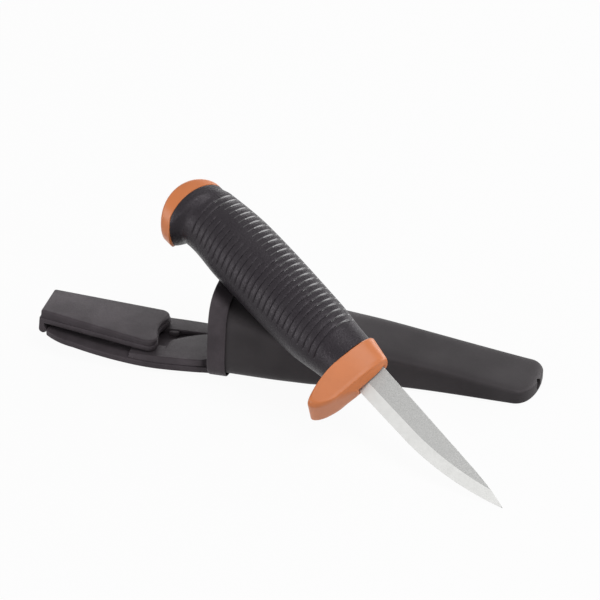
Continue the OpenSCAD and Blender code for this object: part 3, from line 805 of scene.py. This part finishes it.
clipTurn = Matrix.Rotation(math.radians(clip["slope"]), 4, "Y")
clipPlace = millimetre @ Matrix.Translation(clip["hinge"]) @ clipTurn
clipPiece = settle(joinAll("beltClip", [makeBar(), makeBend()]), clipPlace, clip["smooth"])
clipPiece.data.materials.append(holderPlastic)
print("stage: belt clip joined")


# What each piece moves with and stands for

for piece, body, node, slot in (
    (gripPiece, "knife", "grip_sleeve", "grip_rubber"),
    (core, "knife", "handle_core", "orange_plastic"),
    (bladePiece, "knife", "blade", "steel"),
    (sheathPiece, "sheath", "sheath_body", "sheath_plastic"),
    (holderPiece, "sheath", "belt_holder", "holder_plastic"),
    (clipPiece, "clip", "belt_clip", "holder_plastic"),
):
    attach(piece, body)
    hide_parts(node)
print("stage: pieces tied to their bodies")


# Floor, light and camera

stage = {
    "floorSize": 12.0, "floorLevel": -0.0002, "floorColour": 0.55, "floorRough": 0.9,
    "showThrough": 0.95, "fill": 0.2,
    "lamps": [("keyLamp", (0.65, -0.25, 1.4), (0.8, 0.8), 12.0),
              ("backLamp", (-0.35, 1.35, 0.65), (0.9, 0.9), 6.0),
              ("leftLamp", (-1.15, -0.75, 0.36), (0.9, 0.6), 7.0),
              ("rightLamp", (1.15, 0.8, 0.36), (1.6, 0.6), 12.0),
              ("edgeLamp", (0.95, -0.68, 0.68), (0.3, 0.3), 3.0),
              ("frontLamp", (-0.1, -1.5, 0.25), (0.45, 0.45), 4.5)],
    "lampTarget": (0.02, 0.0, 0.02),
    "camera": (0.2160, -0.7817, 0.5111), "target": (0.0196, 0.05496, 0.0),
    "lens": 133.4, "sensor": 36.0, "nearest": 0.01,
}


def seenPlainly(nodes, links):
    path = nodes.new("ShaderNodeLightPath")
    first = nodes.new("ShaderNodeMath")
    first.operation = "MAXIMUM"
    links.new(path.outputs["Is Camera Ray"], first.inputs[0])
    links.new(path.outputs["Is Glossy Ray"], first.inputs[1])
    second = nodes.new("ShaderNodeMath")
    second.operation = "MAXIMUM"
    links.new(first.outputs[0], second.inputs[0])
    links.new(path.outputs["Is Transmission Ray"], second.inputs[1])
    return second


bpy.ops.object.select_all(action="DESELECT")
bpy.ops.mesh.primitive_plane_add(size=stage["floorSize"], location=(0.0, 0.0, stage["floorLevel"]))
floor = bpy.context.object
floor.name = "floor"
paper = bpy.data.materials.new("whitePaper")
paper.use_nodes = True
nodes, links = paper.node_tree.nodes, paper.node_tree.links
nodes["Principled BSDF"].inputs["Base Color"].default_value = (*[stage["floorColour"]] * 3, 1.0)
nodes["Principled BSDF"].inputs["Roughness"].default_value = stage["floorRough"]
glow = nodes.new("ShaderNodeEmission")
glow.inputs["Strength"].default_value = 1.0
seen = seenPlainly(nodes, links)
much = nodes.new("ShaderNodeMath")
much.operation = "MULTIPLY"
much.inputs[1].default_value = stage["showThrough"]
links.new(seen.outputs[0], much.inputs[0])
blend = nodes.new("ShaderNodeMixShader")
links.new(much.outputs[0], blend.inputs["Fac"])
links.new(nodes["Principled BSDF"].outputs["BSDF"], blend.inputs[1])
links.new(glow.outputs["Emission"], blend.inputs[2])
links.new(blend.outputs["Shader"], nodes["Material Output"].inputs["Surface"])
floor.data.materials.append(paper)

world = bpy.data.worlds.new("studio")
bpy.context.scene.world = world
world.use_nodes = True
nodes, links = world.node_tree.nodes, world.node_tree.links
seen = seenPlainly(nodes, links)
level = nodes.new("ShaderNodeMapRange")
level.inputs["To Min"].default_value = stage["fill"]
level.inputs["To Max"].default_value = 1.0
links.new(seen.outputs[0], level.inputs["Value"])
nodes["Background"].inputs["Color"].default_value = (1.0, 1.0, 1.0, 1.0)
links.new(level.outputs["Result"], nodes["Background"].inputs["Strength"])


def aimed(place, target):
    return (Vector(target) - Vector(place)).to_track_quat("-Z", "Y")


for name, place, size, power in stage["lamps"]:
    bpy.ops.object.light_add(type="AREA", location=place)
    lamp = bpy.context.object
    lamp.name = name
    lamp.data.shape = "RECTANGLE"
    lamp.data.size, lamp.data.size_y = size
    lamp.data.energy = power
    lamp.rotation_mode = "QUATERNION"
    lamp.rotation_quaternion = aimed(place, stage["lampTarget"])

bpy.ops.object.camera_add(location=stage["camera"])
camera = bpy.context.object
camera.rotation_mode = "QUATERNION"
camera.rotation_quaternion = aimed(stage["camera"], stage["target"])
camera.data.lens = stage["lens"]
camera.data.sensor_width = stage["sensor"]
camera.data.clip_start = stage["nearest"]
bpy.context.scene.camera = camera
bpy.context.scene.view_settings.view_transform = "Standard"
print("stage: floor, light and camera set")
